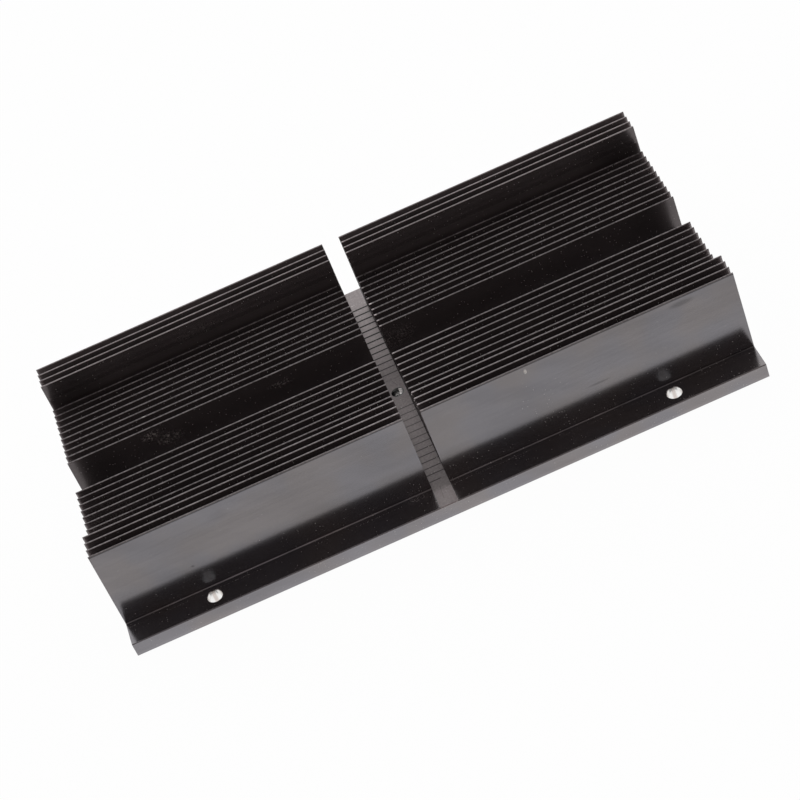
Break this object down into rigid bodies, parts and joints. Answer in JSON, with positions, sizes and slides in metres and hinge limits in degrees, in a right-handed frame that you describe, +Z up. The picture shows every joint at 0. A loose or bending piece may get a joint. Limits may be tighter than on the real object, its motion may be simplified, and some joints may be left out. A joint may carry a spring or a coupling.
{
  "type": "extruded heat sink",
  "caption": "Black anodised aluminium extrusion with two banks of straight fins, tall at the sides and low in the middle, a milled cross slot and drilled side flanges.",
  "frame": {"origin": "centre of the base's flat underside", "axes": "+X along the fins and the length, +Y across the fins and the width, +Z up from the base to the fins' tips"},
  "size_m": [0.25, 0.138, 0.0426],
  "materials": {
    "black_anodised": "satin black anodised",
    "bare_aluminium": "bare machined"
  },
  "bodies": {
    "root": {"heat_sink": "black_anodised"}
  },
  "joints": []
}
